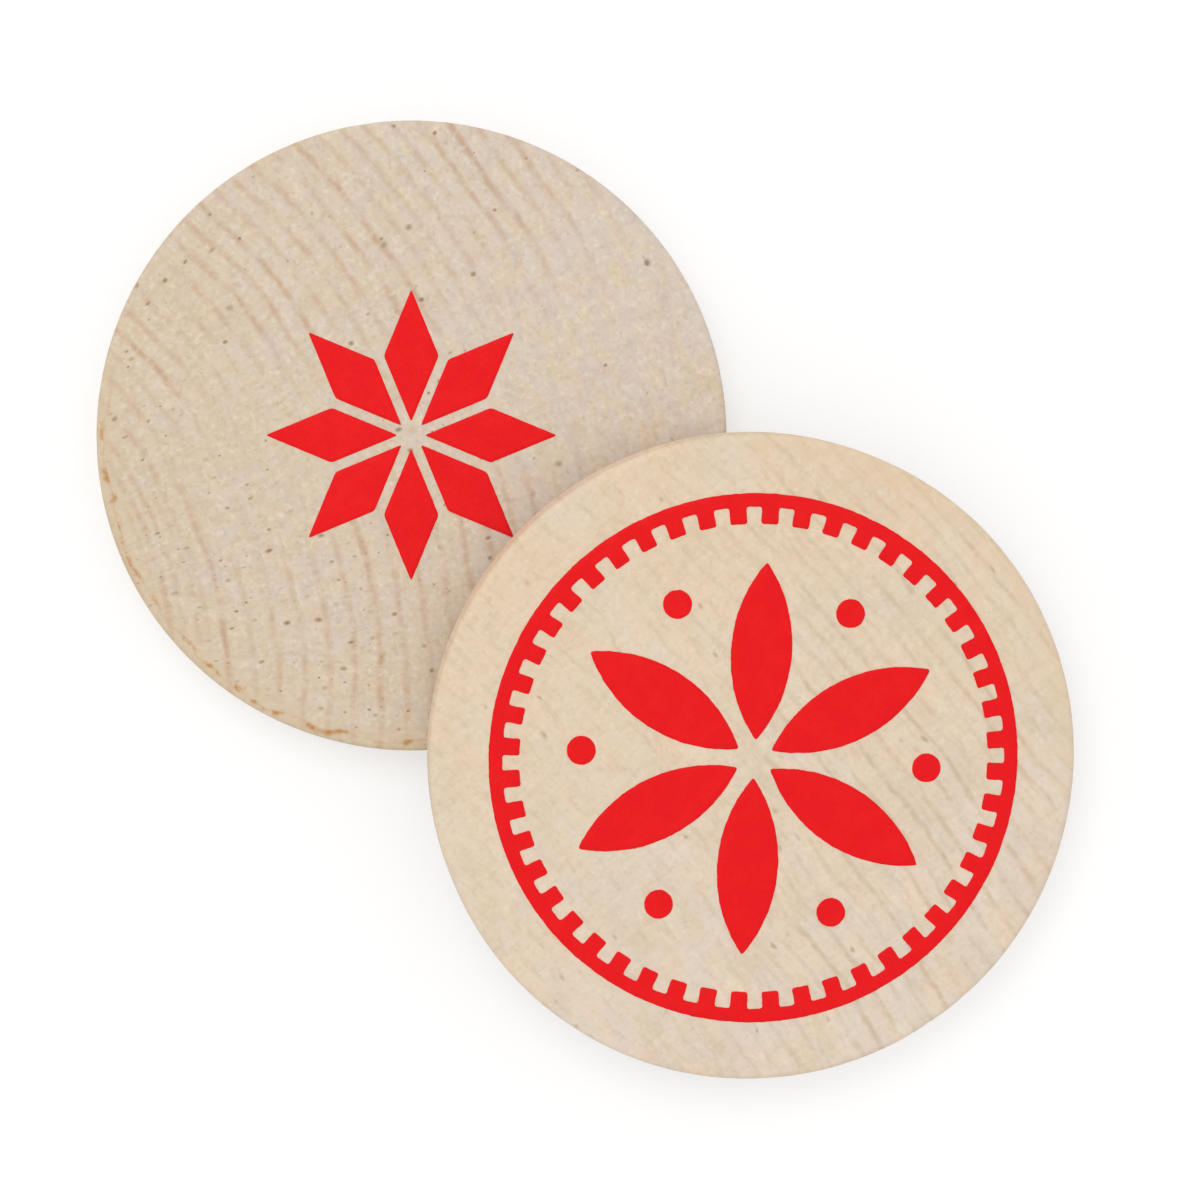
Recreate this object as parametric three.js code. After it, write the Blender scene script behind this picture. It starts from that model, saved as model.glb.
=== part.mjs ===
// Two wooden nickels: one lies flat, and the other leans on its rim.
// Each is a slice of hardwood dowel with eased edges, printed on one face with a film of red ink.
// Millimetres, +Z up. The origin is the centre of the flat nickel's underside, and +X runs from
// the flat nickel to the leaning one.
import * as THREE from "three";

// The blanks
const flatDiameter = 37.3;
const leaningDiameter = 38.1;
const thickness = 3.2;
const easedEdge = 0.5;

// How the leaning nickel lies: its high edge reaches this far past the flat one's eased edge
const lap = 9.87;
const restGap = 0.3;

// The ink
const inkFilm = 0.05;
const inkSeat = 0.01;

// The star on the flat nickel: diamonds that meet point to point in the middle
const diamondCount = 8;
const starReach = 9.4;
const starGap = 0.6;
const starTurn = -1.7;

// The coin border on the leaning nickel: a round line with teeth on its inner side
const borderRadius = 15.6;
const borderLine = 0.8;
const toothLength = 1;
const toothWidth = 1;
const toothCount = 48;

// The rosette inside the border: petals, with a berry in each gap between two of them
const petalCount = 6;
const petalRoot = 1.1;
const petalTip = 11.6;
const petalWidth = 3.6;
const berryCircle = 10.2;
const berryDiameter = 1.7;
const rosetteTurn = 10;

// Steps in the round shapes
const rimSteps = 96;
const edgeSteps = 4;
const diamondSteps = 2;
const petalSteps = 16;
const berrySteps = 24;

const degree = Math.PI / 180;

const wood = {
  flat: new THREE.MeshStandardMaterial({ color: 0xd7c5b1, roughness: 0.75, metalness: 0 }),
  leaning: new THREE.MeshStandardMaterial({ color: 0xe0cdb6, roughness: 0.75, metalness: 0 }),
};
const redInk = new THREE.MeshStandardMaterial({ color: 0xec2124, roughness: 0.5, metalness: 0 });

// A slice of dowel, standing on z = 0 about the Z axis, with a quarter round on both edges.
function blankGeometry(diameter) {
  const radius = diameter / 2;
  const profile = [new THREE.Vector2(0, 0)];
  const addQuarter = (height, startAngle) => {
    for (let step = 0; step <= edgeSteps; step++) {
      const angle = startAngle + (step / edgeSteps) * (Math.PI / 2);
      const x = radius - easedEdge + easedEdge * Math.cos(angle);
      profile.push(new THREE.Vector2(x, height + easedEdge * Math.sin(angle)));
    }
  };
  addQuarter(easedEdge, -Math.PI / 2);
  addQuarter(thickness - easedEdge, 0);
  profile.push(new THREE.Vector2(0, thickness));
  return new THREE.LatheGeometry(profile, rimSteps).rotateX(Math.PI / 2);
}

// A film of ink in the given outline. An arc is drawn in two steps for each curve segment.
function inkGeometry(outline, arcSteps) {
  const curveSegments = arcSteps / 2;
  return new THREE.ExtrudeGeometry(outline, { depth: inkFilm, bevelEnabled: false, curveSegments });
}

// One diamond of the star, along +X. The gap to its neighbours is taken off all its sides.
function diamondOutline() {
  const halfAngle = Math.PI / diamondCount;
  const halfLength = starReach / 2;
  const halfWidth = halfLength * Math.tan(halfAngle);
  const shrink = 1 - starGap / 2 / (halfLength * Math.sin(halfAngle));
  return new THREE.Shape([
    new THREE.Vector2(halfLength * (1 - shrink), 0),
    new THREE.Vector2(halfLength, -halfWidth * shrink),
    new THREE.Vector2(halfLength * (1 + shrink), 0),
    new THREE.Vector2(halfLength, halfWidth * shrink),
  ]);
}

// The border: a plain circle outside, and square teeth that point inwards.
function borderOutline() {
  const lineRadius = borderRadius - borderLine;
  const toothRadius = lineRadius - toothLength;
  const inner = [];
  for (let tooth = 0; tooth < toothCount; tooth++) {
    const middle = (tooth / toothCount) * 2 * Math.PI;
    const halfTooth = toothWidth / 2;
    const corners = [
      [lineRadius, -halfTooth],
      [toothRadius, -halfTooth],
      [toothRadius, halfTooth],
      [lineRadius, halfTooth],
    ];
    for (const [radius, side] of corners) {
      const angle = middle + Math.asin(side / radius);
      inner.push(new THREE.Vector2(radius * Math.cos(angle), radius * Math.sin(angle)));
    }
  }
  const outline = new THREE.Shape().absarc(0, 0, borderRadius, 0, 2 * Math.PI);
  outline.holes.push(new THREE.Path(inner));
  return outline;
}

// One petal, along +X: two arcs that meet in a point at the root and at the tip.
function petalOutline() {
  const halfLength = (petalTip - petalRoot) / 2;
  const bulge = petalWidth / 2;
  const arcRadius = (halfLength ** 2 + bulge ** 2) / (2 * bulge);
  const offset = arcRadius - bulge;
  const start = Math.atan2(offset, halfLength);
  const middle = petalRoot + halfLength;
  return new THREE.Shape()
    .absarc(middle, -offset, arcRadius, start, Math.PI - start)
    .absarc(middle, offset, arcRadius, Math.PI + start, 2 * Math.PI - start);
}

// One berry, on +X.
function berryOutline() {
  return new THREE.Shape().absarc(berryCircle, 0, berryDiameter / 2, 0, 2 * Math.PI);
}

function addBlank(nickel, name, diameter, material) {
  const blank = new THREE.Mesh(blankGeometry(diameter), material);
  blank.name = name;
  nickel.add(blank);
}

// Lays copies of one island of ink on a nickel's upper face, evenly round its middle.
function addInk(nickel, name, geometry, count, turn) {
  for (let copy = 0; copy < count; copy++) {
    const island = new THREE.Mesh(geometry, redInk);
    island.name = count > 1 ? `${name}_${copy + 1}` : name;
    island.position.z = thickness + inkSeat;
    island.rotation.z = turn * degree + (copy / count) * 2 * Math.PI;
    nickel.add(island);
  }
}

function flatNickel() {
  const nickel = new THREE.Group();
  addBlank(nickel, "flat_blank", flatDiameter, wood.flat);
  addInk(nickel, "star_diamond", inkGeometry(diamondOutline(), diamondSteps), diamondCount, starTurn);
  return nickel;
}

function leaningNickel() {
  const nickel = new THREE.Group();
  const halfPetal = 180 / petalCount;
  addBlank(nickel, "leaning_blank", leaningDiameter, wood.leaning);
  addInk(nickel, "coin_border", inkGeometry(borderOutline(), rimSteps), 1, rosetteTurn);
  addInk(nickel, "petal", inkGeometry(petalOutline(), petalSteps), petalCount, rosetteTurn);
  addInk(nickel, "berry", inkGeometry(berryOutline(), berrySteps), petalCount, rosetteTurn + halfPetal);
  return nickel;
}

// Sets a nickel down with its low edge on the table and its underside on the flat nickel's rim.
// Seen from the side, both places are circles of the eased edge: the low edge's circle touches the
// table, and the underside touches the rim's circle. The slope follows from how far apart they are.
function lean(nickel) {
  const radius = leaningDiameter / 2;
  const rimX = flatDiameter / 2 - easedEdge;
  const run = leaningDiameter - easedEdge - lap;
  const depth = 2 * easedEdge + restGap;
  const rise = thickness - 2 * easedEdge;
  const slope = Math.asin(rise / Math.hypot(run, depth)) + Math.atan2(depth, run);
  const lowX = rimX + run * Math.cos(slope) + depth * Math.sin(slope);
  const toMiddle = radius - easedEdge;
  nickel.rotation.y = slope;
  nickel.position.x = lowX - toMiddle * Math.cos(slope) - easedEdge * Math.sin(slope);
  nickel.position.z = easedEdge + toMiddle * Math.sin(slope) - easedEdge * Math.cos(slope);
  return nickel;
}

const pair = new THREE.Group();
pair.add(flatNickel(), lean(leaningNickel()));

export default pair;
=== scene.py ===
"""Two wooden nickels with red prints: one lies flat, and the other leans on its rim."""
import math

import bpy
import numpy as np
from mathutils import Matrix, Vector, noise


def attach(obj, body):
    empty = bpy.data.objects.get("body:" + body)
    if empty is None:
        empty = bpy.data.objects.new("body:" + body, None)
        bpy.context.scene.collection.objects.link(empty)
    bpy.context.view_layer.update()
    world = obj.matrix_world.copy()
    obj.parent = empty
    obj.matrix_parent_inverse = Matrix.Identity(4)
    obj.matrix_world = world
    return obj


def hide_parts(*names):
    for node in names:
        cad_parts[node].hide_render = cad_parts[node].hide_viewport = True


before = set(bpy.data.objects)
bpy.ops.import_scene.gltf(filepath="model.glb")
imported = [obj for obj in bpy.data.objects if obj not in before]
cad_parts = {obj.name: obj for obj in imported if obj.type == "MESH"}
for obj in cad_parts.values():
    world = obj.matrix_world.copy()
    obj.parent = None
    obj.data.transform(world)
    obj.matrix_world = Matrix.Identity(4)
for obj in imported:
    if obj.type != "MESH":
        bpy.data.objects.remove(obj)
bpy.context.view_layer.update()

# The flat nickel's blank
# A slice of hardwood dowel, sawn across the grain, sanded on both faces and tumbled until its
# edges are eased. It lies on the table, and nothing holds it there. Sizes are in millimetres.
mm = 0.001
edge_radius = 0.4
edge_spread = 0.22
edge_waves = [(0.7, 5.0), (0.3, 0.9)]
rim_hollow = 0.03
rim_waves = [(0.75, 9.0), (0.25, 0.7)]
face_wave = 0.012
face_wave_size = 7.0
nick_count = 7
nick_depth = 0.16
nick_width = 0.35
smallest_nick = 0.4
face_cells = 128
edge_rows = 8
wall_rows = 10


def measure_blank(node):
    """Reads a blank's frame, at the middle of its underside, its radius and its thickness."""
    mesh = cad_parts[node].data
    up = max(mesh.polygons, key=lambda polygon: polygon.area * polygon.normal.z).normal
    forward = Vector((0, 1, 0))
    across = forward.cross(up).normalized()
    turn = Matrix((across, up.cross(across), up)).transposed()
    local = np.array([turn.transposed() @ vertex.co for vertex in mesh.vertices])
    low = local.min(axis=0)
    high = local.max(axis=0)
    middle = turn @ Vector(((low[0] + high[0]) / 2, (low[1] + high[1]) / 2, low[2]))
    radius = (high[0] - low[0]) / 2 / mm
    thickness = (high[2] - low[2]) / mm
    return Matrix.Translation(middle) @ turn.to_4x4(), radius, thickness


def wobble(x, y, size, seed):
    """Smooth noise from about -1 to 1 at each point, with bumps about size millimetres across."""
    seed_gap = 7.31
    height = seed * seed_gap
    pairs = zip(np.ravel(x), np.ravel(y))
    values = [noise.noise((a / size, b / size, height)) for a, b in pairs]
    return np.reshape(values, np.shape(x))


def waves(x, y, parts, seed):
    """Wobbles added up. Each has its share of the whole and its size."""
    added = 0.0
    for number, (share, size) in enumerate(parts):
        added = added + share * wobble(x, y, size, seed + number)
    return added


def face_height(x, y, thickness, seed):
    """The sanded face's height at each point: level, but for the slight wave left by sanding."""
    return thickness - face_wave * (1 + wobble(x, y, face_wave_size, seed)) / 2


def disc_grid(cells):
    """The points of a square grid pressed into a disc of radius 1, evenly spaced round its edge."""
    steps = np.linspace(-1, 1, cells + 1)
    u, v = np.meshgrid(steps, steps)
    wide = np.abs(u) > np.abs(v)
    reach = np.where(wide, u, v)
    share = np.divide(np.where(wide, v, u), reach, out=np.zeros_like(u), where=reach != 0)
    angle = np.where(wide, share * math.pi / 4, math.pi / 2 - share * math.pi / 4)
    return reach * np.cos(angle), reach * np.sin(angle)


def grid_border(cells):
    """The numbers of a grid's outer points, in order round it."""
    row = cells + 1
    bottom = list(range(cells))
    right = [i * row + cells for i in range(cells)]
    top = [cells * row + cells - i for i in range(cells)]
    left = [(cells - i) * row for i in range(cells)]
    return bottom + right + top + left


def add_piece(name, points, faces, seat):
    """A new object from points in millimetres in a nickel's own frame."""
    mesh = bpy.data.meshes.new(name)
    mesh.from_pydata((np.asarray(points) * mm).tolist(), [], faces)
    mesh.shade_smooth()
    piece = bpy.data.objects.new(name, mesh)
    piece.matrix_world = seat
    bpy.context.scene.collection.objects.link(piece)
    return piece


def add_blank(name, seat, radius, thickness, seed):
    """A round slice with uneven eased edges and a few nicks along the upper one."""
    draw = np.random.RandomState(seed)
    nick_angles = draw.uniform(-math.pi, math.pi, nick_count)
    nick_sizes = draw.uniform(smallest_nick, 1.0, nick_count)

    # How far the dowel reaches at each angle, and how far each edge is rounded there
    unit_x, unit_y = disc_grid(face_cells)
    angle = np.arctan2(unit_y, unit_x)
    rim_x = radius * np.cos(angle)
    rim_y = radius * np.sin(angle)
    outer = radius - rim_hollow * (1 + waves(rim_x, rim_y, rim_waves, seed + 1)) / 2
    top_edge = edge_radius * (1 + edge_spread * waves(rim_x, rim_y, edge_waves, seed + 3))
    under_edge = edge_radius * (1 + edge_spread * waves(rim_x, rim_y, edge_waves, seed + 5))
    for nick_angle, size in zip(nick_angles, nick_sizes):
        gap = np.angle(np.exp(1j * (angle - nick_angle))) * radius
        top_edge = top_edge + nick_depth * size * np.exp(-((gap / (nick_width * size)) ** 2))

    # Both faces
    top_x = unit_x * (outer - top_edge)
    top_y = unit_y * (outer - top_edge)
    top = np.stack([top_x, top_y, face_height(top_x, top_y, thickness, seed)], axis=-1)
    under_x = unit_x * (outer - under_edge)
    under_y = unit_y * (outer - under_edge)
    under = np.stack([under_x, under_y, np.zeros_like(under_x)], axis=-1)

    # Rows of points down the upper edge, the wall and the lower edge
    border = grid_border(face_cells)
    angle, outer, top_edge, under_edge, top_level = (
        values.ravel()[border] for values in (angle, outer, top_edge, under_edge, top[..., 2])
    )
    rows = []
    for step in range(1, edge_rows + 1):
        bend = math.pi / 2 * (1 - step / edge_rows)
        reach = outer - top_edge * (1 - math.cos(bend))
        rows.append((reach, top_level - top_edge * (1 - math.sin(bend))))
    for step in range(1, wall_rows + 1):
        share = step / wall_rows
        rows.append((outer, (top_level - top_edge) * (1 - share) + under_edge * share))
    for step in range(1, edge_rows):
        bend = math.pi / 2 * step / edge_rows
        reach = outer - under_edge * (1 - math.cos(bend))
        rows.append((reach, under_edge * (1 - math.sin(bend))))

    points = [top.reshape(-1, 3), under.reshape(-1, 3)]
    for reach, level in rows:
        points.append(np.stack([reach * np.cos(angle), reach * np.sin(angle), level], axis=-1))
    grid_size = (face_cells + 1) ** 2
    loops = [border]
    for row in range(len(rows)):
        start = 2 * grid_size + row * len(border)
        loops.append(list(range(start, start + len(border))))
    loops.append([grid_size + number for number in border])

    faces = []
    for row in range(face_cells):
        for column in range(face_cells):
            corner = row * (face_cells + 1) + column
            square = (corner, corner + 1, corner + face_cells + 2, corner + face_cells + 1)
            faces.append(square)
            faces.append(tuple(grid_size + number for number in reversed(square)))
    for above, below in zip(loops, loops[1:]):
        for k in range(len(border)):
            after = (k + 1) % len(border)
            faces.append((above[k], below[k], below[after], above[after]))
    return add_piece(name, np.concatenate(points), faces, seat)


def add_node(tree, kind, inputs, **settings):
    """Adds a node with its settings, and sets each named input or links a socket to it."""
    made = tree.nodes.new(kind)
    for name, value in settings.items():
        setattr(made, name, value)
    for name, value in inputs.items():
        if isinstance(value, bpy.types.NodeSocket):
            tree.links.new(value, made.inputs[name])
        else:
            made.inputs[name].default_value = value
    return made


def maths(tree, operation, first, second=0.0):
    return add_node(tree, "ShaderNodeMath", {0: first, 1: second}, operation=operation).outputs[0]


def vector_maths(tree, operation, first, second):
    inputs = {0: first, 1: second}
    return add_node(tree, "ShaderNodeVectorMath", inputs, operation=operation).outputs[0]


def length_of(tree, vector):
    return add_node(tree, "ShaderNodeVectorMath", {0: vector}, operation="LENGTH").outputs["Value"]


def ramp(tree, value, low, high, start=0.0, end=1.0):
    """Goes smoothly from start to end as value goes from low to high."""
    inputs = {"Value": value, "From Min": low, "From Max": high, "To Min": start, "To Max": end}
    return add_node(tree, "ShaderNodeMapRange", inputs, interpolation_type="SMOOTHSTEP").outputs[0]


def stretched(tree, place, across, along):
    """Places scaled across and along the rings. Patches come out longer where it is below 1."""
    return vector_maths(tree, "MULTIPLY", place, (across, along, 1))


def cloud(tree, place, size, detail, low=0.3, high=0.7, seed=0):
    """Soft patches from 0 to 1, about size millimetres across. Each seed gives other patches."""
    roughness = 0.55
    moved = vector_maths(tree, "ADD", place, (seed * 17.3, seed * 41.9, seed * 5.1))
    inputs = {"Vector": moved, "Scale": 1 / size, "Detail": detail, "Roughness": roughness}
    return ramp(tree, add_node(tree, "ShaderNodeTexNoise", inputs).outputs[0], low, high)


def mix_tone(tree, share, first, second):
    inputs = {0: share, 6: first, 7: second}
    return add_node(tree, "ShaderNodeMix", inputs, data_type="RGBA").outputs[2]


def tone(red, green, blue):
    """A colour as a screen shows it, 0 to 255, in the linear numbers that a shader takes."""
    shares = [value / 255 for value in (red, green, blue)]
    linear = [s / 12.92 if s <= 0.04045 else ((s + 0.055) / 1.055) ** 2.4 for s in shares]
    return (*linear, 1.0)


def along_side(tree, place, side):
    """How far each place lies to one side of the nickel's middle."""
    inputs = {0: place, 1: (*side, 0)}
    return add_node(tree, "ShaderNodeVectorMath", inputs, operation="DOT_PRODUCT").outputs["Value"]


def ring_places(tree, fibre, pith, push):
    """Places by distance from the pith and by length along the ring, both pushed about a little."""
    bend_scale = 0.16
    shiver_scale = 1.3
    shiver_share = 0.22
    moved = fibre
    for scale, reach in ((bend_scale, push), (shiver_scale, push * shiver_share)):
        inputs = {"Vector": fibre, "Scale": scale, "Detail": 2}
        shift = add_node(tree, "ShaderNodeTexNoise", inputs).outputs["Color"]
        shift = vector_maths(tree, "SUBTRACT", shift, (0.5, 0.5, 0.5))
        shift = vector_maths(tree, "MULTIPLY", shift, (reach, reach, 0))
        moved = vector_maths(tree, "ADD", moved, shift)
    from_pith = vector_maths(tree, "SUBTRACT", moved, (*pith, 0))
    parts = add_node(tree, "ShaderNodeSeparateXYZ", {0: from_pith}).outputs
    level = add_node(tree, "ShaderNodeCombineXYZ", {0: parts[0], 1: parts[1]}).outputs[0]
    turn = maths(tree, "ARCTAN2", parts[1], parts[0])
    along = maths(tree, "MULTIPLY", turn, math.hypot(*pith))
    inputs = {0: length_of(tree, level), 1: along, 2: parts[2]}
    return add_node(tree, "ShaderNodeCombineXYZ", inputs).outputs[0]


def ring_lines(tree, place, polar, families, calm):
    """Broken lines along the rings. Each family has its own spacing, and shows on one side.
    All of them fade towards the middle of the calm patch."""
    faintest = 0.45
    calm_core = 0.35
    across = add_node(tree, "ShaderNodeSeparateXYZ", {0: polar}).outputs[0]
    lines = 0.0
    for family in families:
        spacing = family["spacing"]
        off_line = maths(tree, "PINGPONG", across, spacing / 2)
        line = ramp(tree, off_line, 0, family["width"], start=1, end=0)
        number = maths(tree, "ROUND", maths(tree, "DIVIDE", across, spacing))
        chance = add_node(tree, "ShaderNodeTexWhiteNoise", {"W": number}, noise_dimensions="1D")
        strength = ramp(tree, chance.outputs["Value"], 0, 1, start=faintest)
        line = maths(tree, "MULTIPLY", line, strength)
        sideways = along_side(tree, place, family["side"])
        shown = ramp(tree, sideways, *family["fade"], end=family["strength"])
        lines = maths(tree, "MAXIMUM", lines, maths(tree, "MULTIPLY", line, shown))
    long_bits = stretched(tree, polar, across=1.0, along=0.5)
    broken = cloud(tree, long_bits, size=1.0, detail=3, low=0.28, high=0.6)
    cross_bits = stretched(tree, polar, across=0.5, along=1.8)
    toothed = cloud(tree, cross_bits, size=1.0, detail=2, low=0.36, high=0.6, seed=2)
    lines = maths(tree, "MULTIPLY", lines, broken)
    lines = maths(tree, "MULTIPLY", lines, ramp(tree, toothed, 0, 1, start=0.5))
    gap = length_of(tree, vector_maths(tree, "SUBTRACT", place, (*calm["middle"], 0)))
    reach = calm["reach"]
    left = ramp(tree, gap, calm_core * reach, reach, start=calm["left"])
    return maths(tree, "MULTIPLY", lines, left)


def vessel_pores(tree, place, polar, inset, families):
    """The open ends of the vessels: dark dots, commoner on one side, and faint down the wall."""
    side_reach = 18
    rare = 0.4
    common = 1.6
    smallest = 0.5
    mostly_faint = 1.6
    faintest = 0.2
    soft_edge = 0.85
    wall_inset = 0.4
    wall_share = 0.35
    pores = 0.0
    for family in families:
        cell = family["cell"]
        share = family["share"]
        across, along = family["squeeze"]
        spots = vector_maths(tree, "MULTIPLY", polar, (across / cell, along / cell, 0))
        inputs = {"Vector": spots, "Scale": 1.0}
        dots = add_node(tree, "ShaderNodeTexVoronoi", inputs, voronoi_dimensions="2D").outputs
        chance = add_node(tree, "ShaderNodeSeparateColor", {0: dots["Color"]}).outputs
        sideways = along_side(tree, place, family["side"])
        kept = ramp(tree, sideways, -side_reach, side_reach, rare * share, common * share)
        kept = maths(tree, "LESS_THAN", chance[0], kept)
        largest = family["size"] / cell
        reach = ramp(tree, chance[1], 0, 1, smallest * largest, largest)
        dot = maths(tree, "SUBTRACT", 1.0, maths(tree, "DIVIDE", dots["Distance"], reach))
        depth = ramp(tree, maths(tree, "POWER", chance[2], mostly_faint), 0, 1, start=faintest)
        dot = maths(tree, "MULTIPLY", ramp(tree, dot, 0, soft_edge), depth)
        pores = maths(tree, "MAXIMUM", pores, maths(tree, "MULTIPLY", dot, kept))
    return maths(tree, "MULTIPLY", pores, ramp(tree, inset, 0, wall_inset, start=wall_share))


def scorched_edge(tree, flat, inset, radius, scorch):
    """Shares of golden and of brown along one side's edge, where the saw ran hot.
    The brown is a wandering line of dashes, a little way in from the rim."""
    golden_reach = 1.9
    golden_full = 0.4
    nearest = 0.36
    farthest = 0.72
    thinnest = 0.14
    widest = 0.34
    faintest = 0.15
    parts = add_node(tree, "ShaderNodeSeparateXYZ", {0: flat}).outputs
    facing = maths(tree, "DIVIDE", along_side(tree, flat, scorch["side"]), radius)
    facing = ramp(tree, facing, 1 - scorch["width"], 1 - scorch["width"] / 2)
    golden = ramp(tree, inset, golden_reach, golden_full, end=scorch["golden"])
    along = maths(tree, "MULTIPLY", maths(tree, "ARCTAN2", parts[1], parts[0]), radius)
    rim = add_node(tree, "ShaderNodeCombineXYZ", {0: along, 1: inset}).outputs[0]
    wander = cloud(tree, rim, size=2.2, detail=2, low=0.25, high=0.75, seed=3)
    off_line = maths(tree, "SUBTRACT", inset, ramp(tree, wander, 0, 1, nearest, farthest))
    off_line = maths(tree, "ABSOLUTE", off_line)
    dashes = cloud(tree, rim, size=0.9, detail=3, low=0.42, high=0.74, seed=4)
    line = ramp(tree, off_line, 0, ramp(tree, dashes, 0, 1, thinnest, widest), start=1, end=0)
    dark = ramp(tree, dashes, 0, 1, faintest * scorch["brown"], scorch["brown"])
    brown = maths(tree, "MULTIPLY", line, dark)
    return maths(tree, "MULTIPLY", golden, facing), maths(tree, "MULTIPLY", brown, facing)


def wood_material(
    name, radius, tones, shares, pith, push, coarse, families, calm, vessels, drift, scorch
):
    """Bare sanded end grain. The fibres run through the slice, so it changes slowly with depth."""
    depth_share = 0.07
    smoothest = 0.62
    roughest = 0.76
    wood_shine = 0.2
    hollow_share = 0.35
    bump_strength = 0.5
    bump_depth = 0.03
    material = bpy.data.materials.new(name)
    material.use_nodes = True
    tree = material.node_tree
    shader = tree.nodes["Principled BSDF"]
    own = add_node(tree, "ShaderNodeTexCoord", {}).outputs["Object"]
    flat = vector_maths(tree, "MULTIPLY", own, (1 / mm, 1 / mm, 0))
    fibre = vector_maths(tree, "MULTIPLY", own, (1 / mm, 1 / mm, depth_share / mm))
    inset = maths(tree, "SUBTRACT", radius, length_of(tree, flat))
    polar = ring_places(tree, fibre, pith, push)
    rings = ring_lines(tree, flat, polar, families, calm)
    pores = vessel_pores(tree, flat, polar, inset, vessels)
    patches = stretched(tree, polar, across=1.3 / coarse, along=0.65 / coarse)
    streaks = stretched(tree, polar, across=2.4, along=0.45)
    rays = stretched(tree, polar, across=0.7, along=2.6)
    rays = cloud(tree, rays, size=1.0, detail=3, low=0.34, high=0.66)
    rays = maths(tree, "MULTIPLY", rays, maths(tree, "SUBTRACT", 1.0, rings))
    grainy = cloud(tree, stretched(tree, polar, across=1.0, along=0.8), size=0.55, detail=4)
    drifted = ramp(tree, along_side(tree, flat, drift), -radius, radius)
    uneven = cloud(tree, fibre, size=8.0, detail=3, low=0.2, high=0.6, seed=5)

    # Patches of several tones, coarser and coarser, and then the marks on them
    layers = [
        ("straw", cloud(tree, patches, size=0.65, detail=4, seed=6)),
        ("blush", cloud(tree, patches, size=0.85, detail=4, seed=7)),
        ("ash", cloud(tree, patches, size=1.2, detail=4, seed=8)),
        ("shade", cloud(tree, patches, size=1.7, detail=3, seed=11)),
        ("gold", maths(tree, "MULTIPLY", drifted, uneven)),
        ("ray", rays),
        ("streak", cloud(tree, streaks, size=0.9, detail=3, low=0.5, high=0.72, seed=12)),
        ("fleck", cloud(tree, fibre, size=0.34, detail=1, low=0.52, high=0.76, seed=9)),
        ("speck", cloud(tree, fibre, size=0.3, detail=1, low=0.52, high=0.76, seed=10)),
        ("ring", rings),
        ("pore", pores),
    ]
    colour = mix_tone(tree, grainy, tones["pale"], tones["deep"])
    for layer, mask in layers:
        share = maths(tree, "MULTIPLY", mask, shares[layer])
        colour = mix_tone(tree, share, colour, tones[layer])
    golden, brown = scorched_edge(tree, flat, inset, radius, scorch)
    colour = mix_tone(tree, golden, colour, tones["gold"])
    colour = mix_tone(tree, brown, colour, tones["scorch"])
    tree.links.new(colour, shader.inputs["Base Color"])

    tree.links.new(ramp(tree, grainy, 0, 1, smoothest, roughest), shader.inputs["Roughness"])
    shader.inputs["Specular IOR Level"].default_value = wood_shine
    hollows = maths(tree, "MULTIPLY", maths(tree, "ADD", rings, grainy), hollow_share)
    height = maths(tree, "SUBTRACT", 1.0, maths(tree, "ADD", hollows, pores))
    inputs = {"Strength": bump_strength, "Distance": bump_depth * mm, "Height": height}
    bump = add_node(tree, "ShaderNodeBump", inputs)
    tree.links.new(bump.outputs[0], shader.inputs["Normal"])
    return material


flat_seat, flat_radius, thickness = measure_blank("flat_blank")
flat_seed = 3
flat_blank = add_blank("flat_nickel_wood", flat_seat, flat_radius, thickness, flat_seed)
flat_tones = {
    "pale": tone(227, 212, 198),
    "deep": tone(206, 190, 171),
    "straw": tone(221, 205, 158),
    "blush": tone(224, 192, 175),
    "ash": tone(208, 198, 195),
    "shade": tone(204, 186, 164),
    "gold": tone(214, 192, 158),
    "ray": tone(226, 212, 195),
    "streak": tone(192, 170, 144),
    "fleck": tone(240, 229, 206),
    "speck": tone(180, 157, 130),
    "ring": tone(196, 163, 135),
    "pore": tone(138, 102, 64),
    "scorch": tone(190, 136, 76),
}
flat_shares = {
    "straw": 0.7,
    "blush": 0.52,
    "ash": 0.6,
    "shade": 0.1,
    "gold": 0.6,
    "ray": 0.4,
    "streak": 0.15,
    "fleck": 0.35,
    "speck": 0.25,
    "ring": 1.0,
    "pore": 0.8,
}
flat_wood = wood_material(
    "sanded_end_grain",
    radius=flat_radius,
    tones=flat_tones,
    shares=flat_shares,
    pith=(-17.6, -38.5),
    push=1.0,
    coarse=1.0,
    families=[
        {"spacing": 1.25, "width": 0.36, "side": (-1.0, 0.03), "fade": (-5, 8), "strength": 0.9},
        {"spacing": 1.5, "width": 0.36, "side": (0.686, -0.727), "fade": (-1, 5), "strength": 0.92},
    ],
    calm={"middle": (-5.1, -6.2), "reach": 9.0, "left": 0.2},
    vessels=[
        {"size": 0.25, "cell": 1.2, "share": 0.3, "squeeze": (0.75, 1.0), "side": (0.7, -0.71)},
        {"size": 0.12, "cell": 0.6, "share": 0.1, "squeeze": (0.8, 1.0), "side": (0.7, -0.71)},
    ],
    drift=(-0.6, -0.8),
    scorch={"side": (-0.03, -1.0), "width": 0.62, "golden": 0.5, "brown": 1.0},
)
flat_blank.data.materials.append(flat_wood)
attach(flat_blank, "flat_nickel")
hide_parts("flat_blank")

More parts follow.
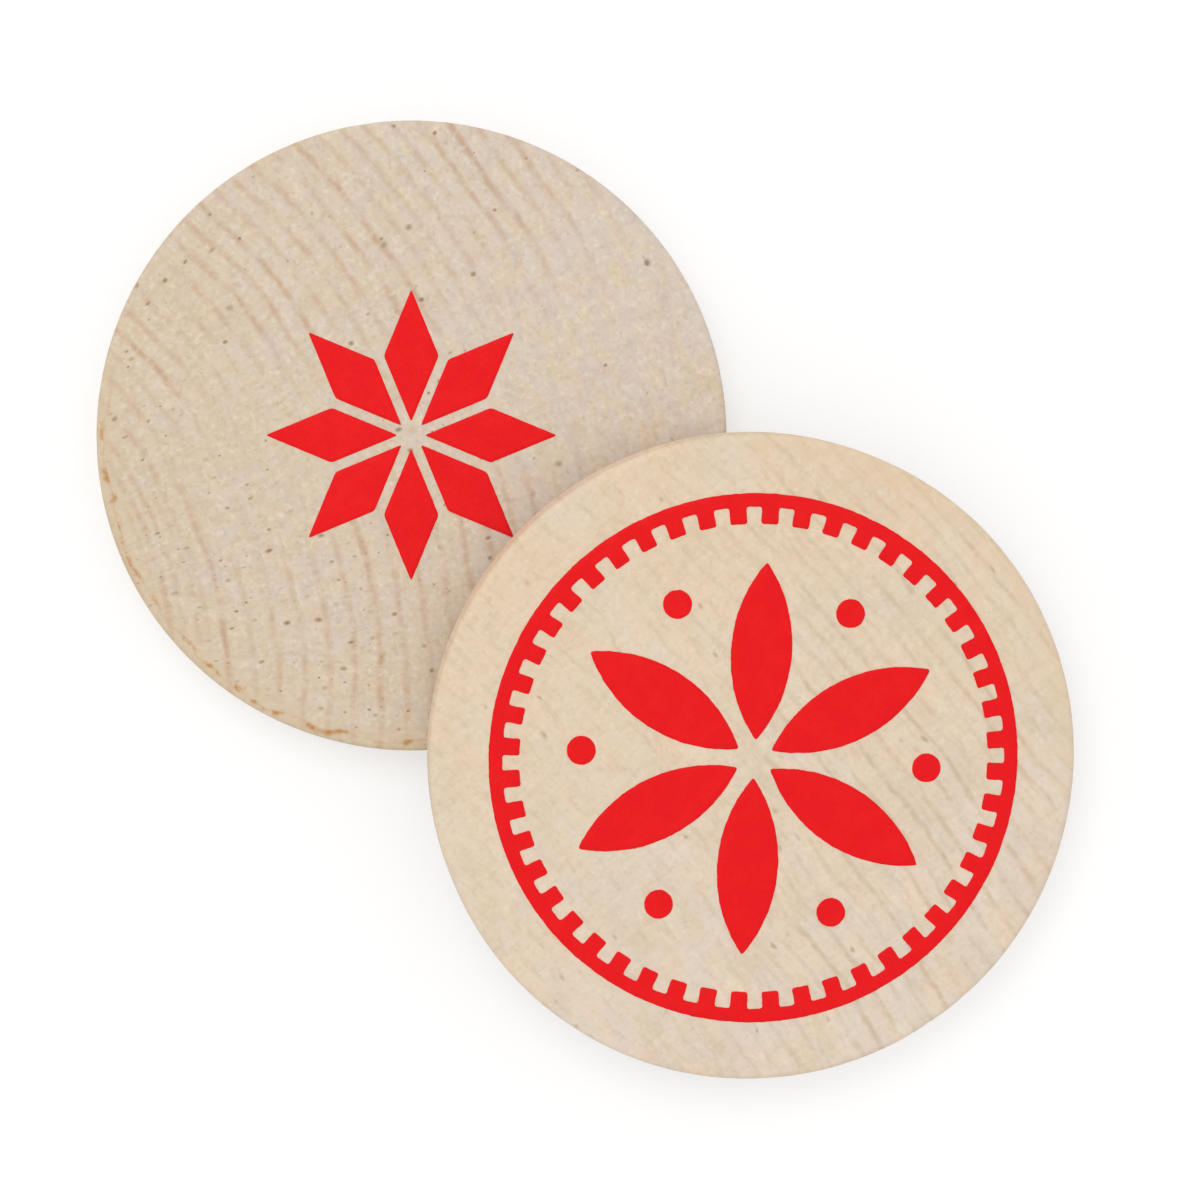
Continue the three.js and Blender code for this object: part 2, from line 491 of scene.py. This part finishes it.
# The star on the flat nickel
# A quilt star of diamonds, printed in one pass with red ink. The ink dries as a thin film on top of
# the wood and follows its surface.
film = 0.045
film_bevel = 0.03
film_sunk = 0.004
film_shoulder = 0.4 * film
film_rings = (0.85, 0.65, 0.45, 0.25)
fray_waves = [(0.6, 0.45), (0.4, 0.17)]
outline_step = 0.12
corner_passes = 2
diamond_count = 8
star_reach = 9.4
star_gap = 0.6
star_turn = math.radians(-1.7)
star_fray = 0.015
star_seed = 20


def walk(corners, step):
    """Points along a closed outline of straight sides, about a step apart."""
    points = []
    for corner, after in zip(corners, corners[1:] + corners[:1]):
        start = np.array(corner)
        side = np.subtract(after, corner)
        count = max(2, round(np.hypot(*side) / step))
        points += [start + side * k / count for k in range(count)]
    return np.array(points)


def soften(points, passes):
    """Rounds an outline's corners, as ink does when it spreads."""
    for _ in range(passes):
        points = (np.roll(points, 1, axis=0) + 2 * points + np.roll(points, -1, axis=0)) / 4
    return points


def outward(points):
    """The way out of a closed outline at each of its points."""
    tangent = np.roll(points, -1, axis=0) - np.roll(points, 1, axis=0)
    tangent /= np.linalg.norm(tangent, axis=1)[:, None]
    return np.stack([tangent[:, 1], -tangent[:, 0]], axis=1)


def fray(points, amount, seed):
    """Moves an outline in and out a little, as the grain draws the wet ink."""
    ragged = waves(points[:, 0], points[:, 1], fray_waves, seed)
    return points + outward(points) * (amount * ragged)[:, None]


def turned(points, angle):
    turn = np.array([[math.cos(angle), math.sin(angle)], [-math.sin(angle), math.cos(angle)]])
    return points @ turn


def add_film(name, seat, thickness, seed, loops, joined):
    """A film of ink through closed outlines, each with its height over the wood.
    It is a hoop if its last outline joins its first, and otherwise both ends are closed."""
    points = []
    for outline, lift in loops:
        level = face_height(outline[:, 0], outline[:, 1], thickness, seed) + lift
        points.append(np.column_stack([outline, level]))
    count = len(points[0])
    faces = []
    pairs = list(zip(range(len(loops)), range(1, len(loops))))
    if joined:
        pairs.append((len(loops) - 1, 0))
    for below, above in pairs:
        for k in range(count):
            after = (k + 1) % count
            corners = [(below, k), (below, after), (above, after), (above, k)]
            faces.append([loop * count + place for loop, place in corners])
    if not joined:
        last = (len(loops) - 1) * count
        bottom = len(loops) * count
        points += [points[0].mean(axis=0, keepdims=True), points[-1].mean(axis=0, keepdims=True)]
        for k in range(count):
            after = (k + 1) % count
            faces.append((bottom, after, k))
            faces.append((bottom + 1, last + k, last + after))
    return add_piece(name, np.concatenate(points), faces, seat)


def add_island(name, seat, thickness, seed, outline):
    """A film of ink inside one outline, with a soft edge."""
    middle = outline.mean(axis=0)
    inner = outline - outward(outline) * film_bevel
    loops = [(outline, -film_sunk), (outline, film_shoulder), (inner, film)]
    for share in film_rings:
        loops.append((middle + (inner - middle) * share, film))
    return add_film(name, seat, thickness, seed, loops, joined=False)


def ink_material(name):
    """Red printing ink, a little uneven where the grain has drunk it in."""
    bright = tone(240, 27, 30)
    full = tone(235, 22, 27)
    drunk = tone(229, 18, 24)
    drunk_share = 0.35
    grain_shift = (5.0, 23.0, 3.0)
    smoothest = 0.42
    roughest = 0.58
    ink_shine = 0.1
    bump_strength = 0.4
    bump_depth = 0.015
    material = bpy.data.materials.new(name)
    material.use_nodes = True
    tree = material.node_tree
    shader = tree.nodes["Principled BSDF"]
    own = add_node(tree, "ShaderNodeTexCoord", {}).outputs["Object"]
    place = vector_maths(tree, "MULTIPLY", own, (1 / mm, 1 / mm, 1 / mm))
    patchy = cloud(tree, place, size=1.2, detail=3)
    grainy = cloud(tree, vector_maths(tree, "ADD", place, grain_shift), size=0.22, detail=3)
    colour = mix_tone(tree, patchy, bright, full)
    colour = mix_tone(tree, maths(tree, "MULTIPLY", grainy, drunk_share), colour, drunk)
    tree.links.new(colour, shader.inputs["Base Color"])
    tree.links.new(ramp(tree, grainy, 0, 1, smoothest, roughest), shader.inputs["Roughness"])
    shader.inputs["Specular IOR Level"].default_value = ink_shine
    inputs = {"Strength": bump_strength, "Distance": bump_depth * mm, "Height": grainy}
    bump = add_node(tree, "ShaderNodeBump", inputs)
    tree.links.new(bump.outputs[0], shader.inputs["Normal"])
    return material


red_ink = ink_material("red_printing_ink")
half_angle = math.pi / diamond_count
half_length = star_reach / 2
half_width = half_length * math.tan(half_angle)
shrink = 1 - star_gap / 2 / (half_length * math.sin(half_angle))
diamond = [
    (half_length * (1 - shrink), 0),
    (half_length, -half_width * shrink),
    (half_length * (1 + shrink), 0),
    (half_length, half_width * shrink),
]
for number in range(diamond_count):
    outline = soften(walk(diamond, outline_step), corner_passes)
    outline = turned(outline, star_turn + 2 * math.pi * number / diamond_count)
    outline = fray(outline, star_fray, star_seed)
    ink = add_island(f"ink_diamond_{number + 1}", flat_seat, thickness, flat_seed, outline)
    ink.data.materials.append(red_ink)
    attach(ink, "flat_nickel")
    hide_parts(f"star_diamond_{number + 1}")

# The leaning nickel's blank
# A slice of another dowel, a little larger and yellower, with closer and fainter rings. It is
# loose: its low edge stands on the table, and its underside rests on the flat nickel's rim.
leaning_seat, leaning_radius, leaning_thickness = measure_blank("leaning_blank")
leaning_seed = 11
leaning_blank = add_blank(
    "leaning_nickel_wood", leaning_seat, leaning_radius, leaning_thickness, leaning_seed
)
leaning_tones = {
    "pale": tone(241, 225, 208),
    "deep": tone(222, 206, 186),
    "straw": tone(231, 215, 172),
    "blush": tone(239, 205, 182),
    "ash": tone(221, 212, 202),
    "shade": tone(212, 193, 168),
    "gold": tone(229, 203, 169),
    "ray": tone(235, 219, 199),
    "streak": tone(204, 183, 153),
    "fleck": tone(244, 230, 206),
    "speck": tone(194, 174, 146),
    "ring": tone(203, 181, 154),
    "pore": tone(180, 156, 126),
    "scorch": tone(214, 178, 132),
}
leaning_shares = {
    "straw": 0.7,
    "blush": 0.8,
    "ash": 0.75,
    "shade": 0.45,
    "gold": 0.8,
    "ray": 0.35,
    "streak": 0.34,
    "fleck": 0.25,
    "speck": 0.22,
    "ring": 1.0,
    "pore": 0.7,
}
leaning_wood = wood_material(
    "sanded_end_grain_yellow",
    radius=leaning_radius,
    tones=leaning_tones,
    shares=leaning_shares,
    pith=(-17.4, -149.0),
    push=1.4,
    coarse=1.9,
    families=[
        {"spacing": 1.15, "width": 0.27, "side": (0.73, 0.69), "fade": (-14, 8), "strength": 0.85},
    ],
    calm={"middle": (-3.0, -9.0), "reach": 14.0, "left": 0.35},
    vessels=[
        {"size": 0.2, "cell": 1.2, "share": 0.19, "squeeze": (1.0, 0.5), "side": (0.0, -1.0)},
    ],
    drift=(-0.9, 0.44),
    scorch={"side": (0.0, 1.0), "width": 0.5, "golden": 0.35, "brown": 0.12},
)
leaning_blank.data.materials.append(leaning_wood)
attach(leaning_blank, "leaning_nickel")
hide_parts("leaning_blank")

# The coin border on the leaning nickel
# A round line with square teeth on its inner side, like the edge of a struck coin. It is a rubber
# stamp's print, so its edges are a little ragged.
border_radius = 15.6
border_line = 0.8
tooth_length = 1.0
tooth_width = 1.0
tooth_count = 48
border_turn = math.radians(10)
gap_steps = 6
flank_steps = 6
tip_steps = 7
border_rings = (0.25, 0.5, 0.75)
stamp_fray = 0.04
tooth_passes = 1
outer_seed = 33
inner_seed = 35


def border_loop(tooth_points, seed):
    """A closed loop round the border from the points of one tooth and one gap.
    Each point is a reach from the nickel's middle and an angle from the tooth's middle."""
    loop = []
    for tooth in range(tooth_count):
        middle = border_turn + 2 * math.pi * tooth / tooth_count
        for reach, angle in tooth_points:
            loop.append((reach * math.cos(middle + angle), reach * math.sin(middle + angle)))
    return fray(soften(np.array(loop), tooth_passes), stamp_fray, seed)


line_radius = border_radius - border_line
tip_radius = line_radius - tooth_length
root_angle = math.asin(tooth_width / 2 / line_radius)
tip_angle = math.asin(tooth_width / 2 / tip_radius)
gap_angle = 2 * math.pi / tooth_count - 2 * root_angle
tooth_steps = 2 * flank_steps + tip_steps
inner_points = []
outer_points = []
for step in range(tooth_steps):
    side = 2 * step / tooth_steps - 1
    outer_points.append((border_radius, side * root_angle))
    if step < flank_steps:
        reach = line_radius - tooth_length * step / flank_steps
        inner_points.append((reach, -math.asin(tooth_width / 2 / reach)))
    elif step <= flank_steps + tip_steps:
        share = (step - flank_steps) / tip_steps
        inner_points.append((tip_radius, (2 * share - 1) * tip_angle))
    else:
        reach = tip_radius + tooth_length * (step - flank_steps - tip_steps) / flank_steps
        inner_points.append((reach, math.asin(tooth_width / 2 / reach)))
for step in range(gap_steps):
    angle = root_angle + gap_angle * step / gap_steps
    outer_points.append((border_radius, angle))
    inner_points.append((line_radius, angle))
outer_loop = border_loop(outer_points, outer_seed)
inner_loop = border_loop(inner_points, inner_seed)
outer_top = outer_loop - outward(outer_loop) * film_bevel
inner_top = inner_loop + outward(inner_loop) * film_bevel
border_loops = [(outer_loop, -film_sunk), (outer_loop, film_shoulder), (outer_top, film)]
for share in border_rings:
    border_loops.append((outer_top * (1 - share) + inner_top * share, film))
border_loops += [(inner_top, film), (inner_loop, film_shoulder), (inner_loop, -film_sunk)]
border_ink = add_film(
    "ink_border", leaning_seat, leaning_thickness, leaning_seed, border_loops, joined=True
)
border_ink.data.materials.append(red_ink)
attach(border_ink, "leaning_nickel")
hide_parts("coin_border")

# The petals of the rosette
# Leaf shapes between two arcs, stamped with the border in the same ink. They dry as thin films
# that point at the nickel's middle and stop short of it.
petal_count = 6
petal_root = 1.1
petal_tip = 11.6
petal_width = 3.6
petal_seed = 40

petal_half = (petal_tip - petal_root) / 2
petal_middle = petal_root + petal_half
bulge = petal_width / 2
arc_radius = (petal_half**2 + bulge**2) / (2 * bulge)
arc_drop = arc_radius - bulge
arc_end = math.atan2(arc_drop, petal_half)
arc_steps = round(arc_radius * (math.pi - 2 * arc_end) / outline_step)
sweep = np.linspace(arc_end, math.pi - arc_end, arc_steps, endpoint=False)
upper_arc = np.column_stack([arc_radius * np.cos(sweep), arc_radius * np.sin(sweep) - arc_drop])
petal = np.concatenate([upper_arc, -upper_arc]) + (petal_middle, 0)
for number in range(petal_count):
    outline = soften(petal, corner_passes)
    outline = turned(outline, border_turn + 2 * math.pi * number / petal_count)
    outline = fray(outline, stamp_fray, petal_seed)
    ink = add_island(
        f"ink_petal_{number + 1}", leaning_seat, leaning_thickness, leaning_seed, outline
    )
    ink.data.materials.append(red_ink)
    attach(ink, "leaning_nickel")
    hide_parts(f"petal_{number + 1}")

# The berries between the petals
# Round dots of the same stamp and ink, one in each gap between two petals. Each is a film of its
# own on the wood.
berry_circle = 10.2
berry_radius = 0.85
berry_seed = 50

berry_steps = round(2 * math.pi * berry_radius / outline_step)
sweep = np.linspace(0, 2 * math.pi, berry_steps, endpoint=False)
berry = np.column_stack([np.cos(sweep), np.sin(sweep)]) * berry_radius + (berry_circle, 0)
for number in range(petal_count):
    outline = turned(berry, border_turn + 2 * math.pi * (number + 0.5) / petal_count)
    outline = fray(outline, stamp_fray, berry_seed)
    ink = add_island(
        f"ink_berry_{number + 1}", leaning_seat, leaning_thickness, leaning_seed, outline
    )
    ink.data.materials.append(red_ink)
    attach(ink, "leaning_nickel")
    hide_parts(f"berry_{number + 1}")

# The table
# A plain white board under both nickels, with its sizes in metres. What the eye sees of it is half
# its own light, so that it stays white and the nickels' shadows on it are soft.
board_half = 0.6
board_drop = 0.03 * mm
board_white = 0.86
board_glow = 0.5
board_shine = 1.06


def seen_directly(tree):
    """1 for what the camera sees, also in a mirror or through glass, and 0 for light on its way."""
    rays = add_node(tree, "ShaderNodeLightPath", {}).outputs
    mirrored = maths(tree, "MAXIMUM", rays["Is Glossy Ray"], rays["Is Transmission Ray"])
    return maths(tree, "MAXIMUM", rays["Is Camera Ray"], mirrored)


board_mesh = bpy.data.meshes.new("white_board")
board_corners = [(-board_half, -board_half), (board_half, -board_half)]
board_corners += [(board_half, board_half), (-board_half, board_half)]
board_mesh.from_pydata([(x, y, -board_drop) for x, y in board_corners], [], [(0, 1, 2, 3)])
board = bpy.data.objects.new("white_board", board_mesh)
bpy.context.scene.collection.objects.link(board)
board_paint = bpy.data.materials.new("white_paint")
board_paint.use_nodes = True
board_tree = board_paint.node_tree
seen = seen_directly(board_tree)
board_shader = board_tree.nodes["Principled BSDF"]
board_colour = mix_tone(board_tree, seen, (board_white, board_white, board_white, 1), (1, 1, 1, 1))
board_tree.links.new(board_colour, board_shader.inputs["Base Color"])
board_shader.inputs["Roughness"].default_value = 1.0
board_shader.inputs["Specular IOR Level"].default_value = 0.0
glow = add_node(board_tree, "ShaderNodeEmission", {"Strength": board_shine})
board_share = maths(board_tree, "MULTIPLY", seen, board_glow)
board_inputs = {0: board_share, 1: board_shader.outputs[0], 2: glow.outputs[0]}
board_mix = add_node(board_tree, "ShaderNodeMixShader", board_inputs)
board_tree.links.new(board_mix.outputs[0], board_tree.nodes["Material Output"].inputs["Surface"])
board_mesh.materials.append(board_paint)

# The light
# A white room all round, and one large soft lamp overhead, a little towards the picture's top left.
# The lamp's size and place are in metres.
room_light = 0.84
lamp_size = 0.3
lamp_power = 0.52
lamp_place = Vector((-0.22, 0.06, 0.46))

world = bpy.data.worlds.new("white_room")
bpy.context.scene.world = world
world.use_nodes = True
room_tree = world.node_tree
room = room_tree.nodes["Background"]
room.inputs["Color"].default_value = (1, 1, 1, 1)
room_strength = ramp(room_tree, seen_directly(room_tree), 0, 1, start=room_light)
room_tree.links.new(room_strength, room.inputs["Strength"])
lamp_data = bpy.data.lights.new("soft_lamp", "AREA")
lamp_data.shape = "DISK"
lamp_data.size = lamp_size
lamp_data.energy = lamp_power
lamp = bpy.data.objects.new("soft_lamp", lamp_data)
lamp.location = lamp_place
lamp.rotation_euler = (-lamp_place).to_track_quat("-Z", "Y").to_euler()
bpy.context.scene.collection.objects.link(lamp)

# The camera
# It looks straight down on both nickels, turned so that the leaning one is at the lower right. The
# nearest and farthest that it sees are in metres.
camera_place = Vector((14.79, 0.57, 270.0)) * mm
camera_turn = math.radians(43.32)
camera_lens = 135.5
camera_sensor = 36
camera_nearest = 0.01
camera_farthest = 10

camera_data = bpy.data.cameras.new("camera")
camera_data.sensor_width = camera_sensor
camera_data.lens = camera_lens
camera_data.clip_start = camera_nearest
camera_data.clip_end = camera_farthest
camera = bpy.data.objects.new("camera", camera_data)
camera.location = camera_place
camera.rotation_euler = (0, 0, camera_turn)
bpy.context.scene.collection.objects.link(camera)
bpy.context.scene.camera = camera
bpy.context.scene.view_settings.view_transform = "Standard"
